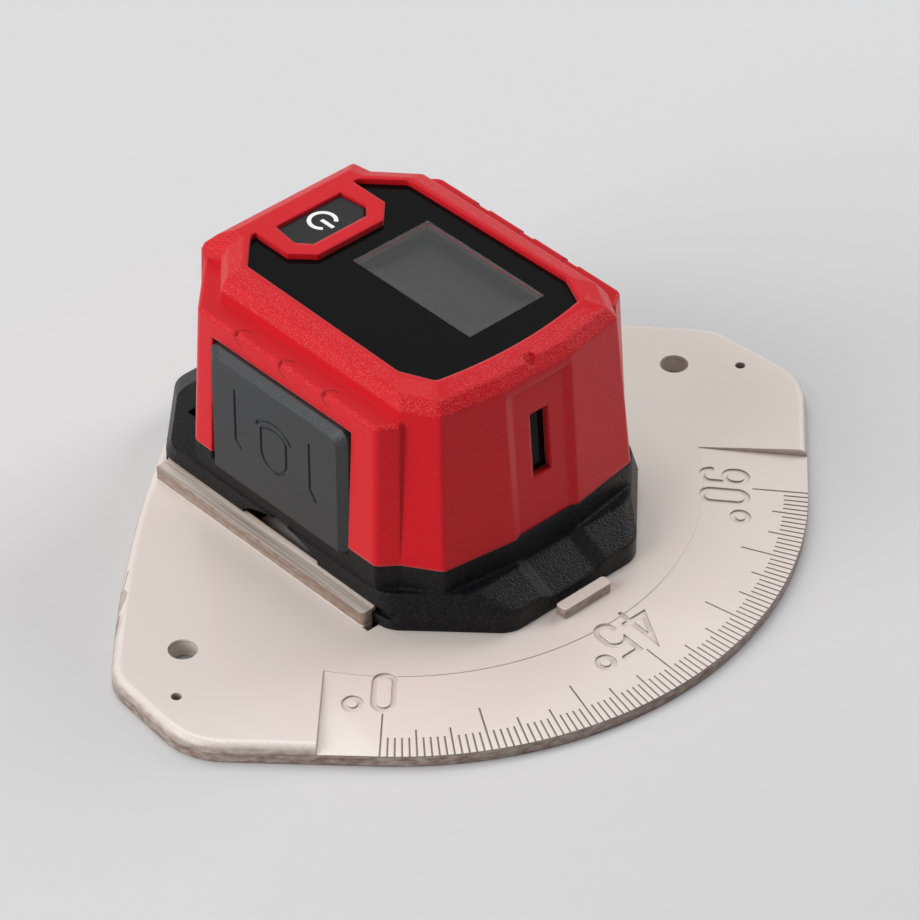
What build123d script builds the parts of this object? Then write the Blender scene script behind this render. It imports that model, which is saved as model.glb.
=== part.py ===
from build123d import *
import math
import os

os.makedirs("parts", exist_ok=True)

# A digital level with a laser line, held in the rails of a protractor plate.
# Millimetres. The origin is at the plate's underside, under the centre of the scale.
# +Z is up, the laser looks along -Y, and the whole is a mirror image about X = 0.
# Heights of the level are given above the plate's top face, and lift() adds the plate.

# Protractor plate
PLATE_T = 4.3
SCALE_R = 85.0
BAND_R = 63.2
BAND_DROP = 1.6
BAND_STEP = 0.15
BAND_OVERRUN = 12.4
FLANK_L = 38.0
FLANK_CORNER_R = 16.0
WING_X = 84.9
WING_Y = -7.6
WING_CORNER_R = 12.0
TAIL_X = 5.0
TAIL_Y = 59.1
TAIL_TIP = 1.5
BACK_BOW = 4.0
HANG_HOLE_R = 3.05
HANG_HOLE_X = 69.0
HANG_HOLE_Y = -11.2
PIN_HOLE_R = 1.1
PIN_HOLE_X = 79.1
PIN_HOLE_Y = -21.2
PLATE_EDGE_R = 2.0

# Scale lines in the band, one for each degree
TICK_W = 0.35
TICK_DEPTH = 0.15
TICK_IN = 79.9
TICK_IN_5 = 77.7
TICK_IN_15 = 73.4

# Numerals sunk in the band: line drawings about their own middles, tops to the rim
NUMERAL_R = 67.5
NUMERAL_W = 1.2
NUMERAL_DEPTH = 0.4
NUMERAL_HALF_W = 2.0
NUMERAL_HALF_H = 4.75
DEGREE_R = 1.62
DEGREE_RISE = 3.3
LABELS = [
    (0, [("0", 0.0), ("o", 6.1)]),
    (45, [("4", -4.2), ("5", 3.0), ("o", 8.9)]),
    (90, [("9", -3.6), ("0", 3.1), ("o", 9.4)]),
]

# Rails and stop on the plate
RAIL_FRONT = -30.5
RAIL_BACK = 34.0
RAIL_WALL_T = 2.6
RAIL_H = 3.4
NOSE_REACH = 1.6
NOSE_UNDER = 2.5
NOSE_TOP = 4.2
NOSE_EASE = 0.5
RAIL_CORNER_R = 1.0
CORE_SLOT_LEAD = 1.6
STOP_HALF_W = 6.7
STOP_L = 2.8
STOP_H = 2.4
STOP_R = 0.8
STOP_GAP = 1.2

# Fits
SLIDE_GAP = 0.15
NOSE_GAP = 0.25
COVER_GAP = 0.1
BUTTON_GAP = 0.2
PAD_GAP = 0.18
DOOR_GAP = 0.3
SEAT_GAP = 0.05
PIN_GAP = 0.05

# Lower base
BASE_HALF_W = 35.3
BASE_HALF_L = 52.5
BASE_CORNER = 69.8
BASE_CORNER_R = 6.5
FLANGE_H = 5.0
SLOPE_TOP = 8.5
SLOPE_RUN = 7.0
SLOPE_CORNER_RUN = 2.0
BASE_TOP = 14.4
BASE_FLOOR_T = 2.2
BASE_WALL_T = 2.4
SIDE_WALL_T = 2.1
CAVITY_HALF_L = 38.5
CAVITY_STEP = 10.6
SCOOP_FRONT = -13.6
SCOOP_BACK = 9.3
SCOOP_SHOULDER = 5.5
SCOOP_TOP = 8.6
SCOOP_DEPTH = 7.7
CHANNEL_HALF_W = 6.0
CHANNEL_RAMP = 2.8
CHANNEL_DEPTH = 1.6
RIB_X = 11.0
RIB_T = 2.0
RIB_HALF_L = 30.0

# Upper housing: half outlines, front to back, each point in from the housing's side and along Y
HOUSING_INSET = 0.3
WALL_T = 2.2
TIER_FOOT = [(9.0, -33.0), (4.0, -34.1), (0.0, -31.0), (0.0, 24.6), (14.2, 38.8)]
TIER_LEDGE = [(10.5, -31.6), (5.6, -32.6), (1.6, -30.0), (1.6, 23.9), (15.3, 37.6)]
LEDGE_Z = 48.0
BLOCK_FOOT = [(26.5, -44.1), (9.0, -41.6), (4.0, -34.1), (4.0, 24.0), (13.0, 33.6), (13.0, 38.0)]
BLOCK_BROW = [(26.0, -40.9), (10.9, -38.6), (6.7, -31.3), (6.7, 22.5), (14.0, 30.8), (14.0, 37.2)]
RIM_FOOT_Z = 50.6
RIM_BEND = [(26.0, -38.8), (12.2, -36.7), (8.2, -29.4), (8.2, 22.3), (15.6, 30.4), (16.4, 35.0)]
RIM_BEND_Z = 53.0
RIM_TOP = [(26.0, -35.0), (14.7, -33.0), (11.3, -26.2), (11.8, 21.9), (19.0, 29.7), (19.4, 32.6)]
RIM_Z = 54.0
DECK_T = 2.0
PANEL_SINK = 1.2
PANEL_T = 1.2
RECESS_EDGE = [(15.6, -32.3), (12.2, -25.0), (13.0, 21.5), (20.2, 29.0)]
RECESS_FRONT = -34.3
RECESS_R = 1.6
FACE_HALF_W = 6.8
FACE_RAMP = 2.2
FACE_SINK = 0.6
FACE_OVERCUT = 3.0
FACE_TOP = 48.6
EDGE_R = 1.0
TIER_EDGE_R = 2.0
LEDGE_EDGE_R = 0.8
MARK_R = 1.9
RIM_MARK_R = 1.4
RIM_MARK_SINK = 0.8
MARK_CUT_L = 10.0
MARK_SINK = 0.45
MARK_YS = (10.3, -3.1, -16.3)

# Button ridge and power button
RIDGE_HALF_W = 13.3
RIDGE_FRONT = 14.6
RIDGE_BACK = 31.5
RIDGE_CHAMFER = 4.5
POCKET = [(7.1, 18.1), (9.7, 21.0), (8.9, 27.8)]
BUTTON_SINK = 0.6
BUTTON_TRAVEL = 0.6
BUTTON_SKIRT = 0.9
BUTTON_SKIRT_T = 1.2
BUTTON_Y = 23.5
BUTTON_STEM_R = 1.75
BUTTON_EDGE_R = 0.4

# Display
WINDOW_X0 = -4.0
WINDOW_X1 = 16.6
WINDOW_Y0 = -25.3
WINDOW_Y1 = 9.7
LCD_X0 = 0.5
LCD_X1 = 15.7
LCD_Y0 = -20.8
LCD_Y1 = 8.6
LCD_MARGIN = 2.6
LCD_TOP = 48.0
LCD_T = 2.2
LCD_LIP_T = 1.2
LCD_FRAME_WALL = 2.0
LINER_T = 0.8
LINER_DROP = 0.5
ZEBRA_W = 1.6
ZEBRA_INSET = 1.0

# Main board
BOARD_TOP = 42.6
BOARD_T = 1.6
BOARD_INSET = 12.0
BOARD_CORNER = 3.0
BOARD_FRONT = -33.0
BOARD_BACK = 31.0
STANDOFF_R = 2.4
STANDOFF_INSET = 14.8
STANDOFF_FRONT = -29.6
STANDOFF_BACK = 27.6
BOARD_HOLE_R = 1.2
BOARD_SCREW_BITE = 4.0
SWITCH_SIZE = 6.0
SWITCH_H = 3.4
SWITCH_BORE_L = 2.0
PLUNGER_PLAY = 0.3

# Parts on the board: in from its left edge, along Y, half width, half length and height
TOP_CHIPS = [
    (12.5, -8.5, 3.5, 3.5, 1.0),
    (12.0, 4.0, 2.0, 2.0, 0.9),
    (12.0, 9.8, 1.5, 0.8, 1.2),
    (12.0, 12.8, 1.5, 0.8, 1.2),
]
UNDER_CHIP = (30.5, -2.5, 1.5, 1.5, 0.9)
BUZZER_INSET = 11.0
BUZZER_Y = -20.0
BUZZER_R = 2.0
BUZZER_H = 3.2

# Side pads
PAD_FRONT = -22.8
PAD_BACK = 19.0
PAD_FOOT = 12.8
PAD_TOP = 43.0
PAD_PROUD = 0.7
PAD_DEPTH = 6.4
PAD_BEVEL = 1.9
PAD_BEVEL_IN = 1.6
PAD_CORNER_R = 2.5
PAD_WALL_T = 2.0
PAD_LIP = 1.5
PAD_LIP_T = 1.2
PAD_TRAVEL = 1.2
PAD_POST_R = 2.4
PAD_SWITCH_Y = -2.0
PAD_SWITCH_Z = 27.0
PAD_SWITCH_T = 2.2
PLUNGER_R = 1.6
PLUNGER_SHOW = 1.1
PAD_SWITCH_CLEAR = 0.5
PAD_SWITCH_BACK_T = 0.2
PAD_PLUNGER_PLAY = 0.1

# Icon in each pad's face: a U under two caps, with a bent line at either side
ICON_LINE_W = 0.7
ICON_DEPTH = 0.35
ICON_Y = -1.85
ICON_FOOT_Z = 25.85
ICON_R = 3.85
ICON_U_TOP = 30.7
ICON_CAPS = [(3.85, 31.0, 32.6), (5.2, 31.6, 34.2)]
ICON_LINES = [[(10.0, 36.0), (10.0, 23.5), (8.5, 22.1)], [(-12.8, 35.3), (-12.8, 24.1), (-14.6, 21.6)]]

# Screw pillars, front and rear
PILLAR_INSET = 14.5
PILLAR_FRONT = -35.2
PILLAR_BACK = 30.6
PILLAR_R = 3.8
PILLAR_TOP = 30.0
SCREW_R = 1.5
SCREW_HOLE_R = 1.7
SCREW_HEAD_R = 2.9
SCREW_HEAD_T = 2.0
SCREW_SINK_R = 3.2
SCREW_SINK = 4.0
SCREW_L = 20.0
DRIVE_R = 0.9
DRIVE_DEPTH = 1.0
PILOT_R = 1.5

# Battery bay
CELL_R = 7.25
CELL_L = 50.5
CELL_NUB_R = 2.75
CELL_NUB_L = 1.0
CELL_PITCH = 14.9
CELL_EDGE_R = 0.6
CELL_SIDE_GAP = 0.3
BAY_FLOOR_T = 1.6
BAY_WALL_T = 1.2
BAY_WALL_TOP = 28.0
CONTACT_T = 0.4
CONTACT_ROOM = 2.6
CONTACT_W = 8.0
CONTACT_HALF_H = 4.0
LEAF_INSET = 2.0
LEAF_RISE = 3.4
LEAF_LIFT = 0.2
STUD_R = 2.0
TAB_W = 2.4

# Battery door
DOOR_HALF_W = 15.6
DOOR_TOP = 33.0
DOOR_T = 1.9
DOOR_AXIS_Y = 36.6
DOOR_AXIS_Z = 16.6
KNUCKLE_R = 1.5
HINGE_PIN_R = 0.6
HINGE_PIN_BITE = 2.6
FINGER_NOTCH_R = 5.0
FINGER_NOTCH_T = 0.8

# Laser
SLIT_HALF_W = 2.4
SLIT_FOOT = 26.3
SLIT_TOP = 41.5
LASER_Z = 33.9
BARREL_R = 4.5
BARREL_BORE_R = 3.0
BARREL_FRONT = -38.2
BARREL_L = 24.0
LENS_T = 2.2
LENS_INSET = 0.6
DIODE_L = 4.0
DIODE_FLANGE_T = 0.8
DIODE_FLANGE_LAP = 1.0
BARREL_EDGE = 0.4
LASER_PANE_HALF_W = 5.0
LASER_PANE_T = 1.2
LASER_PANE_LAP = 2.5
CRADLE_HALF_W = 6.5
CRADLE_FRONT = -37.0
CRADLE_WALL_T = 2.0
EAR_T = 6.0
EAR_HALF_W = 10.6
CLAMP_FRONT = -31.0
CLAMP_L = 8.0
CLAMP_T = 1.4
CLAMP_EAR_T = 2.0
CLAMP_CHAMFER = 1.6
CLAMP_SCREW_L = 6.0
CLAMP_HOLE_GAP = 0.1
SMALL_SCREW_R = 1.0
SMALL_HEAD_R = 1.9
SMALL_HEAD_T = 1.2
FLEX_W = 5.0
FLEX_T = 0.3
FLEX_DROP = 2.0
BRACKET_HALF_L = 7.0
BRACKET_T = 1.4
BRACKET_TOP = 33.0
BRACKET_LAP = 0.5

# Sizes that follow from the ones above
TIER_HALF_W = BASE_HALF_W - HOUSING_INSET
CAVITY_HALF_W = BASE_HALF_W - SCOOP_DEPTH - SIDE_WALL_T
BOARD_HALF_W = TIER_HALF_W - BOARD_INSET
STANDOFF_X = TIER_HALF_W - STANDOFF_INSET
PILLAR_X = TIER_HALF_W - PILLAR_INSET
PILLARS = [(PILLAR_X, PILLAR_FRONT), (PILLAR_X, PILLAR_BACK)]
PAD_FACE_X = BASE_HALF_W + PAD_PROUD
PAD_INNER_X = PAD_FACE_X - PAD_DEPTH
PAD_POST_END = PAD_INNER_X
PAD_SWITCH_FACE = PAD_POST_END - PAD_TRAVEL - PAD_SWITCH_CLEAR
DECK_TOP = RIM_Z - PANEL_SINK - PANEL_T
DECK_FOOT = DECK_TOP - DECK_T
GLASS = (LCD_X0 - LCD_MARGIN, LCD_X1 + LCD_MARGIN, LCD_Y0 - LCD_MARGIN, LCD_Y1 + LCD_MARGIN)
CELL_BACK = DOOR_AXIS_Y - KNUCKLE_R - DOOR_GAP
CELL_FRONT = CELL_BACK - CELL_L
CELL_Z = BASE_TOP + BAY_FLOOR_T + CELL_R + SEAT_GAP
BAY_HALF_W = CELL_PITCH / 2 + CELL_R + CELL_SIDE_GAP
BAY_FRONT = CELL_FRONT - CONTACT_ROOM
CRADLE_BACK = BAY_FRONT - BAY_WALL_T
CLAMP_SCREW_X = (CRADLE_HALF_W + EAR_HALF_W) / 2


def in_from_side(points):
    """A half outline at +X, from points given in from the housing's side."""
    return [(TIER_HALF_W - inset, y) for inset, y in points]


TIER_LOW = in_from_side(TIER_FOOT)
TIER_HIGH = in_from_side(TIER_LEDGE)
BLOCK_LOW = in_from_side(BLOCK_FOOT)
BLOCK_HIGH = in_from_side(BLOCK_BROW)
BEND = in_from_side(RIM_BEND)
RIM = in_from_side(RIM_TOP)
RECESS = in_from_side(RECESS_EDGE)


def lift(shape):
    """A level piece, from heights above the plate's top face to heights above its underside."""
    return Pos(0, 0, PLATE_T) * shape


def save(name, shape):
    """One STEP file for a node: every piece of it is a separate solid."""
    solids = shape.solids()
    piece = solids[0] if len(solids) == 1 else Compound(children=list(solids))
    export_step(piece, "parts/" + name + ".step")


def block(x0, x1, y0, y1, z0, z1):
    """A box between two corners."""
    return Pos((x0 + x1) / 2, (y0 + y1) / 2, (z0 + z1) / 2) * Box(x1 - x0, y1 - y0, z1 - z0)


def rod(x, y, z, r, length):
    """An upright cylinder that stands on z."""
    return Pos(x, y, z + length / 2) * Cylinder(r, length)


def rod_y(x, y, z, r, length):
    """A cylinder along +Y that starts at y."""
    return Pos(x, y + length / 2, z) * Rot(90, 0, 0) * Cylinder(r, length)


def rod_x(x, y, z, r, length):
    """A cylinder along +X that starts at x."""
    return Pos(x + length / 2, y, z) * Rot(0, 90, 0) * Cylinder(r, length)


def both_sides(shape):
    """A piece at +X and its mirror image, as two solids."""
    return Compound(children=[shape, mirror(shape, about=Plane.YZ)])


def with_mirror(shape):
    """A piece at +X fused with its mirror image."""
    return shape + mirror(shape, about=Plane.YZ)


def plan(half, z):
    """A closed outline at z, from its points at +X and their mirror images."""
    points = list(half) + [(-x, y) for x, y in reversed(half)]
    return Pos(0, 0, z) * make_face(Polyline(*points, close=True))


def grown(face, amount):
    """An outline moved out by an amount, or in by a negative one, with sharp corners."""
    return offset(face, amount=amount, kind=Kind.INTERSECTION)


def prism(face, height):
    """A flat outline raised by a height."""
    return extrude(face, amount=height)


def nearest(items, *points):
    """For each point, the item whose centre lies nearest to it."""
    picked = []
    for point in points:
        picked.append(min(items, key=lambda item: (item.center() - Vector(*point)).length))
    return picked


def edges_at(shape, z):
    """The edges that lie flat at a height."""
    flat = [edge for edge in shape.edges() if edge.bounding_box().size.Z < 0.001]
    return [edge for edge in flat if abs(edge.center().Z - z) < 0.001]


def on_square(e0, e90):
    """A plate point from its distances along the 0 degree and 90 degree directions."""
    s = math.sqrt(0.5)
    return ((e90 - e0) * s, -(e0 + e90) * s)


def above_band(inner, depth, reach):
    """Everything above the sloping band, from a radius outward, set a depth below its surface."""
    fall = BAND_DROP * (reach - BAND_R) / (SCALE_R - BAND_R)
    foot = PLATE_T - depth
    corners = [(inner, PLATE_T), (reach, PLATE_T), (reach, foot - fall), (BAND_R, foot)]
    if inner < BAND_R:
        corners.append((inner, foot))
    return revolve(Plane.XZ * make_face(Polyline(*corners, close=True)), Axis.Z, 360)


def drawn(lines, width):
    """A line drawing with round ends and joints, as a flat face."""
    face = trace(Sketch() + lines, line_width=width)
    for line in lines:
        for end in (line @ 0, line @ 1):
            face += Pos(end.X, end.Y) * Circle(width / 2)
    return face


def numeral(sign):
    """The line drawing of one numeral, or of the degree sign."""
    w, h = NUMERAL_HALF_W, NUMERAL_HALF_H
    bend = h - w
    if sign == "o":
        outer = Circle(DEGREE_R + NUMERAL_W / 2)
        return Pos(0, DEGREE_RISE) * (outer - Circle(DEGREE_R - NUMERAL_W / 2))
    if sign == "0":
        lines = [
            Line((-w, -bend), (-w, bend)),
            ThreePointArc((-w, bend), (0, h), (w, bend)),
            Line((w, bend), (w, -bend)),
            ThreePointArc((w, -bend), (0, -h), (-w, -bend)),
        ]
    if sign == "9":
        lines = [
            ThreePointArc((-w, bend), (0, h), (w, bend)),
            Line((w, bend), (w, -bend)),
            ThreePointArc((w, -bend), (0, -h), (-w, -bend)),
            Line((-w, bend), (-w, w)),
            ThreePointArc((-w, w), (0, 0), (w, w)),
        ]
    if sign == "4":
        stem, bar, tip = w * 0.55, -h * 0.45, w * 1.3
        lines = [Line((stem, h), (-tip, bar)), Line((-tip, bar), (tip, bar)), Line((stem, h), (stem, -h))]
    if sign == "5":
        lines = [
            Line((w, h), (-w, h)),
            Line((-w, h), (-w, w / 2)),
            ThreePointArc((-w, w / 2), (w * 0.3, w * 0.7), (w, -w / 2)),
            Line((w, -w / 2), (w, -bend)),
            ThreePointArc((w, -bend), (0, -h), (-w, -bend)),
        ]
    return drawn(lines, NUMERAL_W)


def numerals(reach):
    """The cutters of the three labels, whose floors follow the band's slope."""
    signs = []
    for degree, label in LABELS:
        for sign, across in label:
            raised = prism(Pos(across, NUMERAL_R, 0) * numeral(sign), PLATE_T + 1)
            signs.append(Rot(0, 0, 180 + degree - 45) * raised)
    return above_band(1, BAND_STEP + NUMERAL_DEPTH, reach) & Compound(children=signs)


def scale_lines():
    """The scale's lines, as cutters that lie in the sloping band."""
    slope = math.degrees(math.atan2(BAND_DROP, SCALE_R - BAND_R))
    cutters = []
    for degree in range(91):
        inner = TICK_IN_15 if degree % 15 == 0 else TICK_IN_5 if degree % 5 == 0 else TICK_IN
        length = (SCALE_R - inner) * 1.2
        depth = BAND_STEP + BAND_DROP * (inner - BAND_R) / (SCALE_R - BAND_R) + TICK_DEPTH
        line = block(-TICK_W / 2, TICK_W / 2, -length, 0, 0, PLATE_T)
        cutters.append(Rot(0, 0, degree - 45) * Pos(0, -inner, PLATE_T - depth) * Rot(slope, 0, 0) * line)
    return Compound(children=cutters)


# Protractor plate, with its rails and stop, is one moulding
def make_plate():
    start = on_square(SCALE_R, 0)
    flank = on_square(SCALE_R, -FLANK_L)
    wing = (-WING_X, WING_Y)
    tail = (-TAIL_X, TAIL_Y)
    far = [(-x, y) for x, y in (start, flank, wing, tail)]
    outline = make_face(
        [
            ThreePointArc(start, (0, -SCALE_R), far[0]).edge(),
            Line(far[0], far[1]).edge(),
            Line(far[1], far[2]).edge(),
            SagittaArc(far[2], far[3], -BACK_BOW).edge(),
            ThreePointArc(far[3], (0, TAIL_Y + TAIL_TIP), tail).edge(),
            SagittaArc(tail, wing, -BACK_BOW).edge(),
            Line(wing, flank).edge(),
            Line(flank, start).edge(),
        ]
    )
    outline = fillet(nearest(outline.vertices(), (*flank, 0), (*far[1], 0)), FLANK_CORNER_R)
    outline = fillet(nearest(outline.vertices(), (*wing, 0), (*far[2], 0)), WING_CORNER_R)
    plate = prism(outline, PLATE_T)
    plate = fillet(edges_at(plate, PLATE_T), PLATE_EDGE_R)

    # The scale's band slopes down to the rim, inside a square corner that overruns 0 and 90 degrees
    reach = SCALE_R * 1.2
    corner = Rot(0, 0, -45) * block(-BAND_OVERRUN, reach, -reach, BAND_OVERRUN, -reach, reach)
    plate -= above_band(BAND_R, BAND_STEP, reach) & corner
    plate -= scale_lines()
    plate -= numerals(reach)

    # Each rail is a wall with a nose over the base's groove, with a mould slot under the nose
    wall_in = BASE_HALF_W + SLIDE_GAP
    wall_out = wall_in + RAIL_WALL_T
    nose = wall_in - NOSE_REACH
    section = Polyline(
        (wall_out, 0),
        (wall_out, PLATE_T + RAIL_H),
        (wall_in, PLATE_T + RAIL_H),
        (nose + NOSE_EASE, PLATE_T + NOSE_TOP),
        (nose, PLATE_T + NOSE_TOP - NOSE_EASE),
        (nose, PLATE_T + NOSE_UNDER + NOSE_EASE),
        (nose + NOSE_EASE, PLATE_T + NOSE_UNDER),
        (wall_in, PLATE_T + NOSE_UNDER),
        (wall_in, 0),
        close=True,
    )
    rail = Pos(0, RAIL_BACK, 0) * extrude(Plane.XZ * make_face(section), amount=RAIL_BACK - RAIL_FRONT)
    uprights = nearest(
        rail.edges(),
        (wall_out, RAIL_FRONT, (PLATE_T + RAIL_H) / 2),
        (nose, RAIL_FRONT, PLATE_T + (NOSE_UNDER + NOSE_TOP) / 2),
    )
    rail = fillet(uprights, RAIL_CORNER_R)
    slot = block(nose - NOSE_EASE, wall_in, RAIL_FRONT - CORE_SLOT_LEAD, RAIL_BACK, -1, PLATE_T + 1)
    slot += block(nose - NOSE_EASE, wall_out, RAIL_FRONT - CORE_SLOT_LEAD, RAIL_FRONT, -1, PLATE_T + 1)
    plate = plate - with_mirror(slot) + with_mirror(rail)

    # The stop that the base's front edge comes to rest behind
    stop_back = -BASE_HALF_L - STOP_GAP
    stop = block(-STOP_HALF_W, STOP_HALF_W, stop_back - STOP_L, stop_back, 0, PLATE_T + STOP_H)
    plate += fillet(stop.edges().filter_by(Axis.Z), STOP_R)

    hole = rod(HANG_HOLE_X, HANG_HOLE_Y, -1, HANG_HOLE_R, PLATE_T + 2)
    pinhole = rod(PIN_HOLE_X, PIN_HOLE_Y, -1, PIN_HOLE_R, PLATE_T + 2)
    return plate - with_mirror(hole) - with_mirror(pinhole)


# Plan outlines that several pieces share
def housing_foot(amount=0.0, z=BASE_TOP):
    """The housing's outline where it stands on the base."""
    return grown(plan(TIER_LOW, z), amount) + grown(plan(BLOCK_LOW, z), amount)


def mixed(low, high, share):
    """Points between two half outlines."""
    return [(a[0] + (b[0] - a[0]) * share, a[1] + (b[1] - a[1]) * share) for a, b in zip(low, high)]


def front_y(z):
    """The housing's front face at a height, before its centre panel sinks in."""
    share = (z - BASE_TOP) / (RIM_FOOT_Z - BASE_TOP)
    return BLOCK_LOW[0][1] + (BLOCK_HIGH[0][1] - BLOCK_LOW[0][1]) * share


def rear_y(z):
    """The housing's rear face at a height."""
    share = (z - BASE_TOP) / (LEDGE_Z - BASE_TOP)
    return TIER_LOW[-1][1] + (TIER_HIGH[-1][1] - TIER_LOW[-1][1]) * share


FRONT_LEAN = math.degrees(math.atan2(front_y(RIM_FOOT_Z) - front_y(BASE_TOP), RIM_FOOT_Z - BASE_TOP))
DOOR_INNER_Y = rear_y(DOOR_AXIS_Z) - DOOR_T


# Lower base: a tray with a sloped flange, a groove for each rail nose and a scoop in each side
def make_lower_base():
    def octagon(half_l, half_w, corner, z):
        return plan([(corner - half_l, -half_l), (half_w, half_w - corner), (half_w, corner - half_w),
                     (corner - half_l, half_l)], z)

    def rounded(face, r):
        return fillet(face.vertices(), r)

    foot = rounded(octagon(BASE_HALF_L, BASE_HALF_W, BASE_CORNER, SLIDE_GAP), BASE_CORNER_R)
    brow = rounded(octagon(BASE_HALF_L, BASE_HALF_W, BASE_CORNER, FLANGE_H), BASE_CORNER_R)
    crown = octagon(BASE_HALF_L - SLOPE_RUN, BASE_HALF_W, BASE_CORNER - SLOPE_CORNER_RUN, SLOPE_TOP)
    crown = rounded(crown, BASE_CORNER_R)
    shape = prism(foot, FLANGE_H - SLIDE_GAP)
    shape += loft([brow, crown], ruled=True)
    shape += prism(housing_foot(0, FLANGE_H), BASE_TOP - FLANGE_H)

    # Hollow inside, wider above the rail grooves and the scoops
    floor_top = SLIDE_GAP + BASE_FLOOR_T
    hollow = block(-CAVITY_HALF_W, CAVITY_HALF_W, -CAVITY_HALF_L, CAVITY_HALF_L, floor_top, CAVITY_STEP)
    hollow += prism(housing_foot(-BASE_WALL_T, CAVITY_STEP), BASE_TOP - CAVITY_STEP)
    hollow += prism(housing_foot(-BASE_WALL_T, CAVITY_STEP), BASE_TOP)
    for x, y in PILLARS:
        hollow -= with_mirror(rod(x, y, 0, PILLAR_R, BASE_TOP))
    rib = block(RIB_X - RIB_T / 2, RIB_X + RIB_T / 2, -RIB_HALF_L, RIB_HALF_L, 0, BASE_TOP)
    shape -= hollow - with_mirror(rib)

    # The rail noses run in grooves along the whole side
    nose = BASE_HALF_W + SLIDE_GAP - NOSE_REACH
    groove = block(nose - NOSE_GAP, BASE_HALF_W + 5, -BASE_HALF_L, BASE_HALF_L,
                   NOSE_UNDER - SLIDE_GAP, NOSE_TOP + NOSE_GAP)
    shape -= with_mirror(groove)

    # A scoop in each side lets fingers in under the pads
    middle = (SCOOP_FRONT + SCOOP_BACK) / 2
    front = (SCOOP_FRONT, SCOOP_SHOULDER)
    back = (SCOOP_BACK, SCOOP_SHOULDER)
    arch = make_face([
        Line((SCOOP_FRONT, -1), front).edge(),
        ThreePointArc(front, (middle, SCOOP_TOP), back).edge(),
        Line(back, (SCOOP_BACK, -1)).edge(),
        Line((SCOOP_BACK, -1), (SCOOP_FRONT, -1)).edge(),
    ])
    scoop = Pos(BASE_HALF_W - SCOOP_DEPTH, 0, 0) * extrude(Plane.YZ * arch, amount=SCOOP_DEPTH + 5)
    shape -= with_mirror(scoop)

    # Each pad hangs a little below the housing's foot
    pad_notch = block(PAD_INNER_X - PAD_GAP, BASE_HALF_W + 5, PAD_FRONT - PAD_GAP, PAD_BACK + PAD_GAP,
                      PAD_FOOT - PAD_GAP, BASE_TOP + 1)
    lip_notch = block(PAD_INNER_X - PAD_TRAVEL - PAD_GAP, PAD_INNER_X + PAD_LIP_T + PAD_GAP,
                      PAD_FRONT - PAD_LIP - PAD_GAP, PAD_BACK + PAD_LIP + PAD_GAP,
                      PAD_FOOT - PAD_GAP, BASE_TOP + 1)
    shape -= with_mirror(pad_notch + lip_notch)

    # A ramped channel leads from the laser slit down to the scale
    def channel_section(y, top):
        wide = CHANNEL_HALF_W + CHANNEL_RAMP
        points = [(-CHANNEL_HALF_W, top - CHANNEL_DEPTH), (CHANNEL_HALF_W, top - CHANNEL_DEPTH),
                  (wide, top), (wide, top + SLOPE_TOP), (-wide, top + SLOPE_TOP), (-wide, top)]
        across = Plane(origin=(0, y, 0), x_dir=(1, 0, 0), z_dir=(0, -1, 0))
        return across * make_face(Polyline(*points, close=True))

    slope = (SLOPE_TOP - FLANGE_H) / SLOPE_RUN
    channel_back = BLOCK_LOW[0][1]
    channel_front = -BASE_HALF_L - 2
    back_top = FLANGE_H + slope * (channel_back + BASE_HALF_L)
    front_top = FLANGE_H + slope * (channel_front + BASE_HALF_L)
    ends = [channel_section(channel_back, back_top), channel_section(channel_front, front_top)]
    shape -= loft(ends, ruled=True)

    # Screws come up through the floor
    for x, y in PILLARS:
        bore = rod(x, y, -1, SCREW_HOLE_R, BASE_TOP + 2) + rod(x, y, -1, SCREW_SINK_R, SCREW_SINK + 1)
        shape -= with_mirror(bore)
    return shape


# Upper housing: a boss tier with a ledge, and the block that carries the display
def recess_outline(z, amount=0.0):
    """The top panel's outline, with its bowed front edge."""
    x, y = RECESS[0]
    left = [(-px, py) for px, py in reversed(RECESS)]
    face = make_face([
        ThreePointArc((-x, y), (0, RECESS_FRONT), (x, y)).edge(),
        *[Line(a, b).edge() for a, b in zip(RECESS, RECESS[1:])],
        Line(RECESS[-1], left[0]).edge(),
        *[Line(a, b).edge() for a, b in zip(left, left[1:])],
    ])
    if amount:
        face = grown(face, amount)
    return Pos(0, 0, z) * fillet(face.vertices(), RECESS_R)


def ridge_outline(z, amount=0.0):
    """The red ridge round the power button."""
    points = [(RIDGE_HALF_W - RIDGE_CHAMFER, RIDGE_FRONT), (RIDGE_HALF_W, RIDGE_FRONT + RIDGE_CHAMFER),
              (RIDGE_HALF_W, RIDGE_BACK)]
    return grown(plan(points, z), amount) if amount else plan(points, z)


def pocket_outline(z, amount=0.0):
    """The power button's pocket."""
    return grown(plan(POCKET, z), amount) if amount else plan(POCKET, z)


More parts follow.
